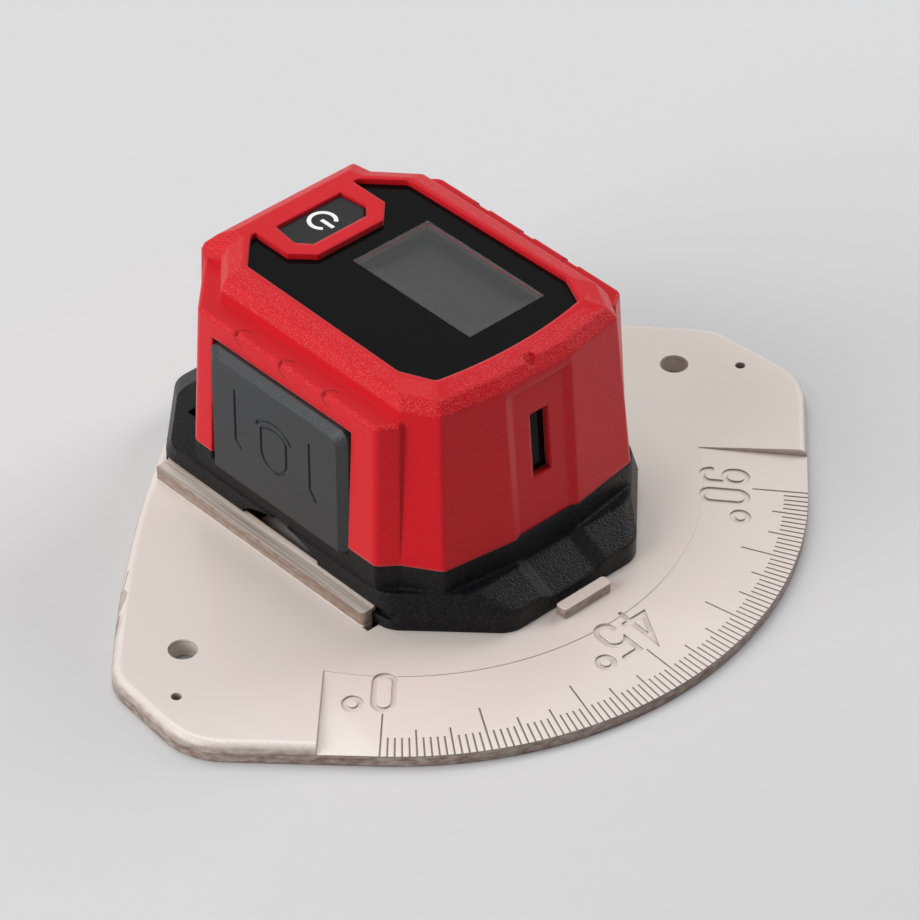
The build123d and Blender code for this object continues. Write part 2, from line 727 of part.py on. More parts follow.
def make_upper_housing():
    tier = loft([plan(TIER_LOW, BASE_TOP), plan(TIER_HIGH, LEDGE_Z)], ruled=True)
    upright = [edge for edge in tier.edges() if edge.bounding_box().size.Z > WALL_T]
    tier = fillet([edge for edge in upright if edge.center().Y > TIER_LOW[1][1] + WALL_T], TIER_EDGE_R)
    tier = fillet(edges_at(tier, LEDGE_Z), LEDGE_EDGE_R)
    body = loft([plan(BLOCK_LOW, BASE_TOP), plan(BLOCK_HIGH, RIM_FOOT_Z)], ruled=True)
    body += loft([plan(BLOCK_HIGH, RIM_FOOT_Z), plan(BEND, RIM_BEND_Z)], ruled=True)
    body += loft([plan(BEND, RIM_BEND_Z), plan(RIM, RIM_Z)], ruled=True)
    x, y = mixed(BLOCK_LOW, BLOCK_HIGH, 0.5)[1]
    mid_z = (BASE_TOP + RIM_FOOT_Z) / 2
    soft = nearest(body.edges(), (x, y, mid_z), (-x, y, mid_z))
    above_foot = [edge for edge in body.edges() if edge.bounding_box().min.Z > RIM_FOOT_Z - 0.01]
    soft += [edge for edge in above_foot if edge.bounding_box().min.Z < RIM_Z - 0.01]
    outer = tier + fillet(soft, EDGE_R)

    # Inside walls follow the outside
    tier_share = (LEDGE_Z - WALL_T - BASE_TOP) / (LEDGE_Z - BASE_TOP)
    tier_top = plan(mixed(TIER_LOW, TIER_HIGH, tier_share), LEDGE_Z - WALL_T)
    tier_in = loft([grown(plan(TIER_LOW, BASE_TOP), -WALL_T), grown(tier_top, -WALL_T)], ruled=True)
    body_share = (DECK_FOOT - BASE_TOP) / (RIM_FOOT_Z - BASE_TOP)
    body_top = plan(mixed(BLOCK_LOW, BLOCK_HIGH, body_share), DECK_FOOT)
    body_in = loft([grown(plan(BLOCK_LOW, BASE_TOP), -WALL_T), grown(body_top, -WALL_T)], ruled=True)
    hollow = tier_in + body_in
    for x, y in PILLARS:
        toward = -1 if y < 0 else 1
        y0, y1 = sorted((y - toward * PILLAR_R, y + toward * 4 * PILLAR_R))
        post = block(x - PILLAR_R, x + 4 * PILLAR_R, y0, y1, 0, PILLAR_TOP)
        hollow -= with_mirror(post)
    for x in (-STANDOFF_X, STANDOFF_X):
        for y in (STANDOFF_FRONT, STANDOFF_BACK):
            hollow -= rod(x, y, BOARD_TOP, STANDOFF_R, DECK_FOOT)
    shape = outer - hollow

    # Recess for the panel, the ridge in it, and the openings through the deck
    sunk = prism(recess_outline(DECK_TOP), RIM_Z) - prism(ridge_outline(DECK_TOP), RIM_Z)
    shape -= sunk
    shape -= prism(pocket_outline(DECK_FOOT - 1), RIM_Z)
    shape -= block(WINDOW_X0, WINDOW_X1, WINDOW_Y0, WINDOW_Y1, DECK_FOOT - 1, RIM_Z)

    # The centre panel of the front face is sunk, with the laser slit in it
    def face_section(z):
        y = front_y(z)
        wide = FACE_HALF_W + FACE_RAMP
        out = y - FACE_OVERCUT
        points = [(-FACE_HALF_W, y + FACE_SINK), (FACE_HALF_W, y + FACE_SINK), (wide, y), (wide, out),
                  (-wide, out), (-wide, y)]
        return Pos(0, 0, z) * make_face(Polyline(*points, close=True))

    shape -= loft([face_section(BASE_TOP - 1), face_section(FACE_TOP)], ruled=True)
    shape -= block(-SLIT_HALF_W, SLIT_HALF_W, front_y(BASE_TOP) - 1, front_y(RIM_Z) + WALL_T,
                   SLIT_FOOT, SLIT_TOP)

    # Pad openings, open at the foot
    opening = block(PAD_INNER_X - 3, BASE_HALF_W + 5, PAD_FRONT - PAD_GAP, PAD_BACK + PAD_GAP,
                    BASE_TOP - 1, PAD_TOP + PAD_GAP)
    shape -= with_mirror(opening)

    # Door opening, open at the foot
    half = DOOR_HALF_W + DOOR_GAP
    shape -= block(-half, half, CELL_BACK, rear_y(BASE_TOP) + 2, BASE_TOP - 1, DOOR_TOP + DOOR_GAP)
    shape -= rod_x(-half - HINGE_PIN_BITE, DOOR_AXIS_Y, DOOR_AXIS_Z, HINGE_PIN_R + PIN_GAP,
                   2 * (half + HINGE_PIN_BITE))

    for x, y in PILLARS:
        shape -= with_mirror(rod(x, y, BASE_TOP - 1, PILOT_R, PILLAR_TOP - BASE_TOP))
    for x in (-STANDOFF_X, STANDOFF_X):
        for y in (STANDOFF_FRONT, STANDOFF_BACK):
            shape -= rod(x, y, BOARD_TOP - 1, SMALL_SCREW_R, DECK_FOOT - BOARD_TOP)

    # Round marks on the ledge's edge and on the front of the rim
    for y in MARK_YS:
        edge_x = TIER_HIGH[2][0]
        cut = rod(0, 0, 0, MARK_R, MARK_CUT_L)
        mark = Pos(edge_x - MARK_SINK, y, LEDGE_Z - MARK_SINK) * Rot(0, 45, 0) * cut
        shape -= with_mirror(mark)
    cut = rod(0, 0, -RIM_MARK_SINK, RIM_MARK_R, MARK_CUT_L)
    mark = Pos(0, BEND[0][1], RIM_BEND_Z) * Rot(45, 0, 0) * cut
    return shape - mark


# Top panel and window, let into the rim
def make_top_panel():
    panel = prism(recess_outline(DECK_TOP, -COVER_GAP), PANEL_T)
    panel -= prism(ridge_outline(DECK_TOP - 1, COVER_GAP), PANEL_T + 2)
    return panel - block(WINDOW_X0, WINDOW_X1, WINDOW_Y0, WINDOW_Y1, DECK_TOP - 1, RIM_Z)


def make_display_window():
    pane = block(WINDOW_X0 + SEAT_GAP, WINDOW_X1 - SEAT_GAP, WINDOW_Y0 + SEAT_GAP, WINDOW_Y1 - SEAT_GAP,
                 DECK_TOP, DECK_TOP + PANEL_T)
    return pane


# Display: glass in a frame, on rubber contact strips
def make_lcd_glass():
    return block(*GLASS, LCD_TOP - LCD_T, LCD_TOP)


def make_lcd_frame():
    x0, x1, y0, y1 = GLASS
    wall = LCD_FRAME_WALL
    gap = SEAT_GAP
    frame = block(x0 - wall, x1 + wall, y0 - wall, y1 + wall, BOARD_TOP, LCD_TOP + LCD_LIP_T)
    frame -= block(x0 - gap, x1 + gap, y0 - gap, y1 + gap, BOARD_TOP - 1, LCD_TOP + gap)
    frame -= block(LCD_X0, LCD_X1, LCD_Y0, LCD_Y1, LCD_TOP - 1, LCD_TOP + LCD_LIP_T + 1)

    # A thin wall lines the window's opening through the deck
    inner = gap + LINER_T
    liner = block(WINDOW_X0 + gap, WINDOW_X1 - gap, WINDOW_Y0 + gap, WINDOW_Y1 - gap,
                  LCD_TOP + LCD_LIP_T, DECK_TOP - LINER_DROP)
    liner -= block(WINDOW_X0 + inner, WINDOW_X1 - inner, WINDOW_Y0 + inner, WINDOW_Y1 - inner,
                   LCD_TOP, DECK_TOP)
    return frame + liner


def make_zebra_strips():
    x0, x1, y0, y1 = GLASS
    x0 += ZEBRA_INSET
    x1 -= ZEBRA_INSET
    front = block(x0, x1, y0 + SEAT_GAP, y0 + ZEBRA_W, BOARD_TOP, LCD_TOP - LCD_T)
    back = block(x0, x1, y1 - ZEBRA_W, y1 - SEAT_GAP, BOARD_TOP, LCD_TOP - LCD_T)
    return Compound(children=[front, back])


# Main board with its parts
def make_main_board():
    half = BOARD_HALF_W
    board = block(-half, half, BOARD_FRONT, BOARD_BACK, BOARD_TOP - BOARD_T, BOARD_TOP)
    board = chamfer(board.edges().filter_by(Axis.Z), BOARD_CORNER)
    for x in (-STANDOFF_X, STANDOFF_X):
        for y in (STANDOFF_FRONT, STANDOFF_BACK):
            board -= rod(x, y, BOARD_TOP - BOARD_T - 1, BOARD_HOLE_R, BOARD_T + 2)
    return board


def make_board_chips():
    def chip(inset, y, half_w, half_l, z0, z1):
        x = inset - BOARD_HALF_W
        return block(x - half_w, x + half_w, y - half_l, y + half_l, z0, z1)

    parts = [chip(*place, BOARD_TOP, BOARD_TOP + height) for *place, height in TOP_CHIPS]
    *place, height = UNDER_CHIP
    under = BOARD_TOP - BOARD_T
    parts.append(chip(*place, under - height, under))
    parts.append(rod(BUZZER_INSET - BOARD_HALF_W, BUZZER_Y, BOARD_TOP, BUZZER_R, BUZZER_H))
    return Compound(children=parts)


def make_board_screws():
    screws = []
    under = BOARD_TOP - BOARD_T
    for x in (-STANDOFF_X, STANDOFF_X):
        for y in (STANDOFF_FRONT, STANDOFF_BACK):
            shank = rod(x, y, under, SMALL_SCREW_R - SEAT_GAP, BOARD_T + BOARD_SCREW_BITE)
            screws.append(shank + rod(x, y, under - SMALL_HEAD_T, SMALL_HEAD_R, SMALL_HEAD_T))
    return Compound(children=screws)


# Power button over its switch
def make_power_button():
    top = RIM_Z - BUTTON_SINK
    cap_foot = DECK_FOOT - COVER_GAP - BUTTON_SKIRT_T
    cap = prism(pocket_outline(cap_foot, -BUTTON_GAP), top - cap_foot)
    cap = fillet(cap.edges().group_by(Axis.Z)[-1], BUTTON_EDGE_R)
    skirt = prism(pocket_outline(cap_foot, BUTTON_SKIRT), BUTTON_SKIRT_T)
    stem_foot = BOARD_TOP + SWITCH_H + PLUNGER_SHOW
    return cap + skirt + rod(0, BUTTON_Y, stem_foot, BUTTON_STEM_R, cap_foot - stem_foot)


def make_power_switch():
    half = SWITCH_SIZE / 2
    body = block(-half, half, BUTTON_Y - half, BUTTON_Y + half, BOARD_TOP, BOARD_TOP + SWITCH_H)
    bore_foot = BOARD_TOP + SWITCH_H - SWITCH_BORE_L
    return body - rod(0, BUTTON_Y, bore_foot, PLUNGER_R + SEAT_GAP, SWITCH_BORE_L + 1)


def make_power_plunger():
    foot = BOARD_TOP + SWITCH_H - SWITCH_BORE_L + BUTTON_TRAVEL + PLUNGER_PLAY
    return rod(0, BUTTON_Y, foot, PLUNGER_R, BOARD_TOP + SWITCH_H + PLUNGER_SHOW - foot)


# Squeeze pads, one in each side
def make_pad():
    def outline(x, inset, foot):
        y0 = PAD_FRONT + inset
        y1 = PAD_BACK - inset
        top = PAD_TOP - inset
        points = [(y0, foot), (y0, top), (y1, top), (y1, foot)]
        face = make_face(Polyline(*points, close=True))
        face = fillet(nearest(face.vertices(), (*points[1], 0), (*points[2], 0)), PAD_CORNER_R)
        return Plane(origin=(x, 0, 0), x_dir=(0, 1, 0), z_dir=(1, 0, 0)) * face

    bevel_x = PAD_FACE_X - PAD_BEVEL_IN
    pad = extrude(outline(PAD_INNER_X, 0, PAD_FOOT), amount=bevel_x - PAD_INNER_X)
    pad += loft([outline(bevel_x, 0, PAD_FOOT), outline(PAD_FACE_X, PAD_BEVEL, PAD_FOOT)], ruled=True)
    pad += block(PAD_INNER_X, PAD_INNER_X + PAD_LIP_T, PAD_FRONT - PAD_LIP, PAD_BACK + PAD_LIP, PAD_FOOT,
                 PAD_TOP + PAD_LIP)
    pad -= block(PAD_INNER_X - 1, PAD_FACE_X - PAD_WALL_T - PAD_BEVEL_IN, PAD_FRONT + PAD_WALL_T,
                 PAD_BACK - PAD_WALL_T, PAD_FOOT + PAD_WALL_T, PAD_TOP - PAD_WALL_T)
    post_l = PAD_FACE_X - PAD_WALL_T - PAD_POST_END
    pad += rod_x(PAD_POST_END, PAD_SWITCH_Y, PAD_SWITCH_Z, PAD_POST_R, post_l)
    return pad - pad_icon()


def pad_icon():
    """The icon's cutter, sunk into the pad's face."""
    left = ICON_Y - ICON_R
    right = ICON_Y + ICON_R
    bottom = ICON_FOOT_Z - ICON_R
    lines = [
        Line((left, ICON_U_TOP), (left, ICON_FOOT_Z)),
        ThreePointArc((left, ICON_FOOT_Z), (ICON_Y, bottom), (right, ICON_FOOT_Z)),
        Line((right, ICON_FOOT_Z), (right, ICON_U_TOP)),
    ]
    for reach, foot, top in ICON_CAPS:
        lines.append(ThreePointArc((ICON_Y - reach, foot), (ICON_Y, top), (ICON_Y + reach, foot)))
    for points in ICON_LINES:
        lines += [Line(a, b) for a, b in zip(points, points[1:])]
    strokes = drawn(lines, ICON_LINE_W)
    return Pos(PAD_FACE_X - ICON_DEPTH, 0, 0) * extrude(Plane.YZ * strokes, amount=1)


def make_pad_switch():
    half = SWITCH_SIZE / 2
    back = PAD_SWITCH_FACE - PAD_SWITCH_T
    body = block(back, PAD_SWITCH_FACE, PAD_SWITCH_Y - half, PAD_SWITCH_Y + half,
                 PAD_SWITCH_Z - half, PAD_SWITCH_Z + half)
    bore_x = back + PAD_SWITCH_BACK_T
    return body - rod_x(bore_x, PAD_SWITCH_Y, PAD_SWITCH_Z, PLUNGER_R + SEAT_GAP, PAD_SWITCH_T + 1)


def make_pad_plunger():
    back = PAD_SWITCH_FACE - PAD_SWITCH_T + PAD_SWITCH_BACK_T
    start = back + PAD_TRAVEL + PAD_PLUNGER_PLAY
    return rod_x(start, PAD_SWITCH_Y, PAD_SWITCH_Z, PLUNGER_R, PAD_POST_END - start)


# Cells, their bay and contacts
def make_cells():
    cells = []
    for side, nub_front in ((-1, True), (1, False)):
        x = side * CELL_PITCH / 2
        can_front = CELL_FRONT + (CELL_NUB_L if nub_front else 0)
        can = rod_y(x, can_front, CELL_Z, CELL_R, CELL_L - CELL_NUB_L)
        can = fillet(can.edges().filter_by(GeomType.CIRCLE), CELL_EDGE_R)
        nub_y = CELL_FRONT if nub_front else CELL_BACK - CELL_NUB_L
        cells.append(can + rod_y(x, nub_y, CELL_Z, CELL_NUB_R, CELL_NUB_L))
    return Compound(children=cells)


def make_chassis():
    floor_z = BASE_TOP
    deck = floor_z + BAY_FLOOR_T
    half = BAY_HALF_W + BAY_WALL_T
    shape = block(-half, half, CRADLE_FRONT, CELL_BACK, floor_z, deck)
    shape += with_mirror(block(BAY_HALF_W, half, BAY_FRONT, CELL_BACK, floor_z, BAY_WALL_TOP))
    shape += block(-half, half, BAY_FRONT - BAY_WALL_T, BAY_FRONT, floor_z, BAY_WALL_TOP)

    # The cradle carries the laser in front of the bay
    cradle = block(-CRADLE_HALF_W, CRADLE_HALF_W, CRADLE_FRONT, CRADLE_BACK, floor_z, LASER_Z)
    wall = CRADLE_WALL_T
    cradle -= block(-CRADLE_HALF_W + wall, CRADLE_HALF_W - wall, CRADLE_FRONT + wall, CRADLE_BACK - wall,
                    floor_z - 1, LASER_Z - BARREL_R - wall)
    cradle += block(-EAR_HALF_W, EAR_HALF_W, CLAMP_FRONT, CLAMP_FRONT + CLAMP_L, LASER_Z - EAR_T, LASER_Z)
    cradle -= rod_y(0, CRADLE_FRONT - 1, LASER_Z, BARREL_R + SEAT_GAP, CRADLE_BACK - CRADLE_FRONT + 2)
    screw_y = CLAMP_FRONT + CLAMP_L / 2
    for x in (-CLAMP_SCREW_X, CLAMP_SCREW_X):
        cradle -= rod(x, screw_y, LASER_Z - CLAMP_SCREW_L, SMALL_SCREW_R, CLAMP_SCREW_L + 1)
    shape += cradle

    # A bracket each side holds the pad's switch
    back = PAD_SWITCH_FACE - PAD_SWITCH_T
    y0 = PAD_SWITCH_Y - BRACKET_HALF_L
    y1 = PAD_SWITCH_Y + BRACKET_HALF_L
    bracket = block(half - BRACKET_LAP, back, y0, y1, floor_z, deck)
    bracket += block(back - BRACKET_T, back, y0, y1, floor_z, BRACKET_TOP)
    return shape + with_mirror(bracket)


def make_front_contacts():
    """A bent leaf behind each cell's front end, with a tab up to the board."""
    leaves = []
    for side in (-1, 1):
        x = side * CELL_PITCH / 2
        y = BAY_FRONT + SEAT_GAP
        half_w = CONTACT_W / 2
        foot = CELL_Z - CONTACT_HALF_H
        plate = block(x - half_w, x + half_w, y, y + CONTACT_T, foot, CELL_Z + CONTACT_HALF_H)
        tip = CELL_FRONT - SEAT_GAP
        end_y = y + CONTACT_T + LEAF_LIFT
        end_z = CELL_Z + LEAF_RISE
        bend = Polyline((y, foot), (y + CONTACT_T, foot), (tip, CELL_Z), (end_y, end_z),
                        (end_y, end_z - CONTACT_T), (tip - CONTACT_T, CELL_Z), close=True)
        leaf_w = CONTACT_W - 2 * LEAF_INSET
        leaf = Pos(x - leaf_w / 2, 0, 0) * extrude(Plane.YZ * make_face(bend), amount=leaf_w)
        inner = side * (CELL_PITCH / 2 + half_w - TAB_W)
        outer = side * (CELL_PITCH / 2 + half_w)
        tab = block(min(inner, outer), max(inner, outer), y, y + CONTACT_T, CELL_Z, BOARD_TOP - BOARD_T)
        leaves.append(plate + leaf + tab)
    return Compound(children=leaves)


def make_door_contact():
    y = DOOR_INNER_Y - CONTACT_T
    half = CELL_PITCH / 2 + CONTACT_W / 2
    strip = block(-half, half, y, DOOR_INNER_Y, CELL_Z - CONTACT_HALF_H, CELL_Z + CONTACT_HALF_H)
    stud_y = CELL_BACK + SEAT_GAP
    for side in (-1, 1):
        strip += rod_y(side * CELL_PITCH / 2, stud_y, CELL_Z, STUD_R, y - stud_y)
    return strip


# Battery door, hinged at its foot on a steel pin
def make_battery_door():
    outer = rear_y(DOOR_AXIS_Z)
    door = block(-DOOR_HALF_W, DOOR_HALF_W, DOOR_INNER_Y, outer, DOOR_AXIS_Z, DOOR_TOP)
    door += rod_x(-DOOR_HALF_W, DOOR_AXIS_Y, DOOR_AXIS_Z, KNUCKLE_R, 2 * DOOR_HALF_W)
    door -= rod_x(-DOOR_HALF_W - 1, DOOR_AXIS_Y, DOOR_AXIS_Z, HINGE_PIN_R + PIN_GAP, 2 * DOOR_HALF_W + 2)
    notch = rod_y(0, outer - FINGER_NOTCH_T, DOOR_TOP + 1, FINGER_NOTCH_R, FINGER_NOTCH_T + 1)
    return door - notch


def make_hinge_pin():
    half = DOOR_HALF_W + DOOR_GAP + HINGE_PIN_BITE - SEAT_GAP
    return rod_x(-half, DOOR_AXIS_Y, DOOR_AXIS_Z, HINGE_PIN_R, 2 * half)


# Laser line module
def make_laser_barrel():
    barrel = rod_y(0, BARREL_FRONT, LASER_Z, BARREL_R, BARREL_L)
    barrel = chamfer(barrel.edges().filter_by(GeomType.CIRCLE), BARREL_EDGE)
    return barrel - rod_y(0, BARREL_FRONT - 1, LASER_Z, BARREL_BORE_R, BARREL_L + 2)


def make_line_lens():
    return rod_y(0, BARREL_FRONT + LENS_INSET, LASER_Z, BARREL_BORE_R - SEAT_GAP, LENS_T)


def make_laser_diode():
    back = BARREL_FRONT + BARREL_L
    can = rod_y(0, back - DIODE_L, LASER_Z, BARREL_BORE_R - SEAT_GAP, DIODE_L)
    return can + rod_y(0, back, LASER_Z, BARREL_R - DIODE_FLANGE_LAP, DIODE_FLANGE_T)


def make_laser_flex():
    """The flat lead from the diode up to the board."""
    y = BARREL_FRONT + BARREL_L + DIODE_FLANGE_T
    return block(-FLEX_W / 2, FLEX_W / 2, y, y + FLEX_T, LASER_Z - FLEX_DROP, BOARD_TOP - BOARD_T)


def make_laser_clamp():
    back = CLAMP_FRONT + CLAMP_L
    top = LASER_Z + BARREL_R + CLAMP_T
    cap = block(-CRADLE_HALF_W, CRADLE_HALF_W, CLAMP_FRONT, back, LASER_Z, top)
    cap = chamfer(cap.edges().filter_by(Axis.Y).group_by(Axis.Z)[-1], CLAMP_CHAMFER)
    cap += block(-EAR_HALF_W, EAR_HALF_W, CLAMP_FRONT, back, LASER_Z, LASER_Z + CLAMP_EAR_T)
    cap -= rod_y(0, CLAMP_FRONT - 1, LASER_Z, BARREL_R + SEAT_GAP, CLAMP_L + 2)
    screw_y = CLAMP_FRONT + CLAMP_L / 2
    for x in (-CLAMP_SCREW_X, CLAMP_SCREW_X):
        cap -= rod(x, screw_y, LASER_Z - 1, SMALL_SCREW_R + CLAMP_HOLE_GAP, CLAMP_EAR_T + 2)
    return cap


def make_clamp_screws():
    screws = []
    for x in (-CLAMP_SCREW_X, CLAMP_SCREW_X):
        y = CLAMP_FRONT + CLAMP_L / 2
        top = LASER_Z + CLAMP_EAR_T
        shank = rod(x, y, top - CLAMP_SCREW_L, SMALL_SCREW_R - SEAT_GAP, CLAMP_SCREW_L)
        screws.append(shank + rod(x, y, top, SMALL_HEAD_R, SMALL_HEAD_T))
    return Compound(children=screws)


def make_laser_pane():
    """The dark pane behind the slit, leaning with the front wall."""
    mid = (SLIT_FOOT + SLIT_TOP) / 2
    half = (SLIT_TOP - SLIT_FOOT) / 2 + LASER_PANE_LAP
    pane = block(-LASER_PANE_HALF_W, LASER_PANE_HALF_W, 0, LASER_PANE_T, -half, half)
    wall = WALL_T / math.cos(math.radians(FRONT_LEAN))
    return Pos(0, front_y(mid) + wall + SEAT_GAP, mid) * Rot(-FRONT_LEAN, 0, 0) * pane


# Screws that hold the base to the housing
def make_housing_screws():
    screws = []
    for x, y in PILLARS:
        head_foot = SCREW_SINK - SCREW_HEAD_T
        screw = rod(x, y, SCREW_SINK, SCREW_R - SEAT_GAP, SCREW_L)
        screw += rod(x, y, head_foot, SCREW_HEAD_R, SCREW_HEAD_T)
        screw -= rod(x, y, head_foot - 1, DRIVE_R, DRIVE_DEPTH + 1)
        screws.append(screw)
        screws.append(mirror(screw, about=Plane.YZ))
    return Compound(children=screws)


save("protractor_plate", make_plate())
level_pieces = {
    "lower_base": make_lower_base(),
    "upper_housing": make_upper_housing(),
    "top_panel": make_top_panel(),
    "display_window": make_display_window(),
    "lcd_glass": make_lcd_glass(),
    "lcd_frame": make_lcd_frame(),
    "zebra_strips": make_zebra_strips(),
    "main_board": make_main_board(),
    "board_chips": make_board_chips(),
    "board_screws": make_board_screws(),
    "power_button": make_power_button(),
    "power_switch": make_power_switch(),
    "power_plunger": make_power_plunger(),
    "pad_right": make_pad(),
    "pad_left": mirror(make_pad(), about=Plane.YZ),
    "pad_plunger_right": make_pad_plunger(),
    "pad_plunger_left": mirror(make_pad_plunger(), about=Plane.YZ),
    "pad_switches": both_sides(make_pad_switch()),
    "battery_cells": make_cells(),
    "chassis": make_chassis(),
    "front_contacts": make_front_contacts(),
    "door_contact": make_door_contact(),
    "battery_door": make_battery_door(),
    "door_hinge_pin": make_hinge_pin(),
    "laser_barrel": make_laser_barrel(),
    "line_lens": make_line_lens(),
    "laser_diode": make_laser_diode(),
    "laser_flex": make_laser_flex(),
    "laser_clamp": make_laser_clamp(),
    "clamp_screws": make_clamp_screws(),
    "laser_pane": make_laser_pane(),
    "housing_screws": make_housing_screws(),
}
for name, piece in level_pieces.items():
    save(name, lift(piece))
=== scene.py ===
"""The looks of a digital level in its protractor plate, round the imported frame.

Metres, in the frame's own axes. Tones are linear.
"""

import math
from functools import partial

import bmesh
import bpy
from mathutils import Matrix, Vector


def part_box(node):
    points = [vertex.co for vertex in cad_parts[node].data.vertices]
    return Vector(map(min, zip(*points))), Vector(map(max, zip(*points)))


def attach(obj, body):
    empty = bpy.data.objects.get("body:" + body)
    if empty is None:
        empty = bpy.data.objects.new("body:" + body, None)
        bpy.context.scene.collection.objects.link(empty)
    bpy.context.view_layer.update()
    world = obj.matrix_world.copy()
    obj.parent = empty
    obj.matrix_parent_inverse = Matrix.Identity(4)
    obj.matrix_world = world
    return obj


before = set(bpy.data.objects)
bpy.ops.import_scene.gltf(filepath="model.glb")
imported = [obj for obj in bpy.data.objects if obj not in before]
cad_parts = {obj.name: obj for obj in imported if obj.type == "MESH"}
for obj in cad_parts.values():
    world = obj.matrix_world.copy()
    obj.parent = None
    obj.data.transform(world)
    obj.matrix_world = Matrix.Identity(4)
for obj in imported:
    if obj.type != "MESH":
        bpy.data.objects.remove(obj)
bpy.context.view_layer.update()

MM = 0.001
PLATE_TOP = 4.3 * MM

# Power symbol on the button: a ring that is open to the front, with a bar in the gap
SYMBOL_CENTRE = (0.1 * MM, 23.6 * MM)
SYMBOL_INNER_R = 2.35 * MM
SYMBOL_OUTER_R = 3.25 * MM
SYMBOL_GAP = math.radians(80)
SYMBOL_STEPS = 40
SYMBOL_BAR_HALF_W = 0.45 * MM
SYMBOL_BAR_FRONT = -3.4 * MM
SYMBOL_BAR_BACK = 0.3 * MM
SYMBOL_T = 0.03 * MM
SYMBOL_WELD = 1e-6
SYMBOL_TONE = (0.82, 0.82, 0.82)

# Painted shade: thin dark C-shaped lines that run over the ledges' edges
LEDGE_MARK_X = 33.4 * MM
LEDGE_MARK_Z = 52.3 * MM
LEDGE_MARK_YS = (10.3 * MM, -3.1 * MM, -16.3 * MM)
LEDGE_MARK_R = 2.4 * MM
LEDGE_SHADE_LINE = 0.45 * MM
LEDGE_SHADE_SHARE = 0.7

# The plate's scale: a band that falls outwards from the plate's top, with ticks cut into it
BAND_INNER_R = 63.2 * MM
BAND_SLOPE = 1.6 / 21.8
BAND_STEP = 0.15 * MM
TICK_DEPTH = 0.15 * MM
TICK_NEAR = 0.55 * TICK_DEPTH
TICK_FAR = 1.4 * TICK_DEPTH

# The plate's other places: its hanging holes, its rails and stop, and its edge, which gets a
# painted brown shade
HOLE_X = 69.0 * MM
HOLE_Y = -11.2 * MM
HOLE_R = 3.4 * MM
RAISED_FROM = 0.2 * MM
RAIL_NEAR_X = 30.0 * MM
EDGE_SHADE_TONE_DEPTH = 2.5 * MM

# Camera, fitted to the photograph: its target lies on the plate's top face
CAMERA_AZIMUTH = math.radians(-42.67)
CAMERA_ELEVATION = math.radians(38.77)
CAMERA_DISTANCE = 1005.9 * MM
CAMERA_TARGET = Vector((13.25 * MM, -4.72 * MM, PLATE_TOP))
CAMERA_CLIP = 50.0 * MM
LENS_MM = 187.4
SENSOR_MM = 36.0
FRAME_SHIFT = -0.0036

# Area lights: name, place, aim, size and watts
LIGHTS = (
    ("left_light", (-1.0, 0.25, 0.55), (0, 0, 0.02), (0.9, 0.9), 10.5),
    ("right_light", (0.9, -0.1, 0.6), (0, 0, 0.02), (0.5, 0.6), 4.4),
    ("top_light", (0.1, 0.35, 1.1), (0, 0, 0), (0.8, 0.8), 5.2),
)
WORLD_TINT = (0.97, 0.98, 1.0)
WORLD_STRENGTH = 0.19
BACKDROP_TONE = (0.6, 0.6, 0.605)

# Floor
FLOOR_SIZE = 6.0
FLOOR_Z = -0.2 * MM
FLOOR_TONE = (0.69, 0.69, 0.695)
FLOOR_DARK = (0.685, 0.685, 0.69)
FLOOR_LIGHT = (0.70, 0.70, 0.705)

# Red plastic: its tones, the painted glints on its grain, the painted shade of the ledge marks, and
# the grain on the faces whose normal's Z lies in the lean range
RED = (0.66, 0.001, 0.010)
RED_DARK = (0.58, 0.001, 0.008)
RED_LIGHT = (0.66, 0.002, 0.011)
RED_PAINTED_GLINT = (0.82, 0.18, 0.17)
RED_SHADE_LINE = (0.25, 0.001, 0.004)
RED_LEAN = (0.25, 0.97)
RED_PAINTED_GLINT_SIZE = 0.27 * MM
RED_GRAIN_SIZE = 0.42 * MM
RED_GRAIN_DEPTH = 0.2 * MM
RED_EDGE = 1.0 * MM

# Black moulded plastic: the painted glints, light dots painted on its grain
PAINTED_GLINT_TONE = (0.04, 0.04, 0.04)
PAINTED_GLINT_SHARE = 0.3
PEAKS = (0.5, 0.68)

# Champagne plastic of the plate, with painted shade that browns its edges and darkens its cut ticks
# and numerals
PALE_DARK = (0.80, 0.72, 0.66)
PALE_LIGHT = (0.87, 0.79, 0.73)
STREAK_TONE = (0.34, 0.25, 0.18)
EDGE_SHADE_TONE = (0.14, 0.065, 0.035)
GROOVE_SHADE_TONE = (0.12, 0.085, 0.07)
FROST_SIZE = 0.5 * MM
FROST_DEPTH = 0.25 * MM
FROST_EDGE = 0.35 * MM

# Where nearly all of a noise texture's values lie
NOISE_RANGE = (0.3, 0.7)


# Camera, lights and floor
def make_camera():
    data = bpy.data.cameras.new("camera")
    data.lens = LENS_MM
    data.sensor_width = SENSOR_MM
    data.shift_x = FRAME_SHIFT
    data.clip_start = CAMERA_CLIP
    camera = bpy.data.objects.new("camera", data)
    bpy.context.scene.collection.objects.link(camera)
    flat = math.cos(CAMERA_ELEVATION)
    back = Vector((
        math.sin(CAMERA_AZIMUTH) * flat,
        -math.cos(CAMERA_AZIMUTH) * flat,
        math.sin(CAMERA_ELEVATION),
    ))
    camera.location = CAMERA_TARGET + back * CAMERA_DISTANCE
    camera.rotation_mode = "QUATERNION"
    camera.rotation_quaternion = (-back).to_track_quat("-Z", "Y")
    bpy.context.scene.camera = camera


def area_light(name, place, aim, size, watts):
    data = bpy.data.lights.new(name, "AREA")
    data.shape = "RECTANGLE"
    data.size, data.size_y = size
    data.energy = watts
    light = bpy.data.objects.new(name, data)
    light.location = place
    light.rotation_mode = "QUATERNION"
    light.rotation_quaternion = (Vector(aim) - Vector(place)).to_track_quat("-Z", "Y")
    bpy.context.scene.collection.objects.link(light)


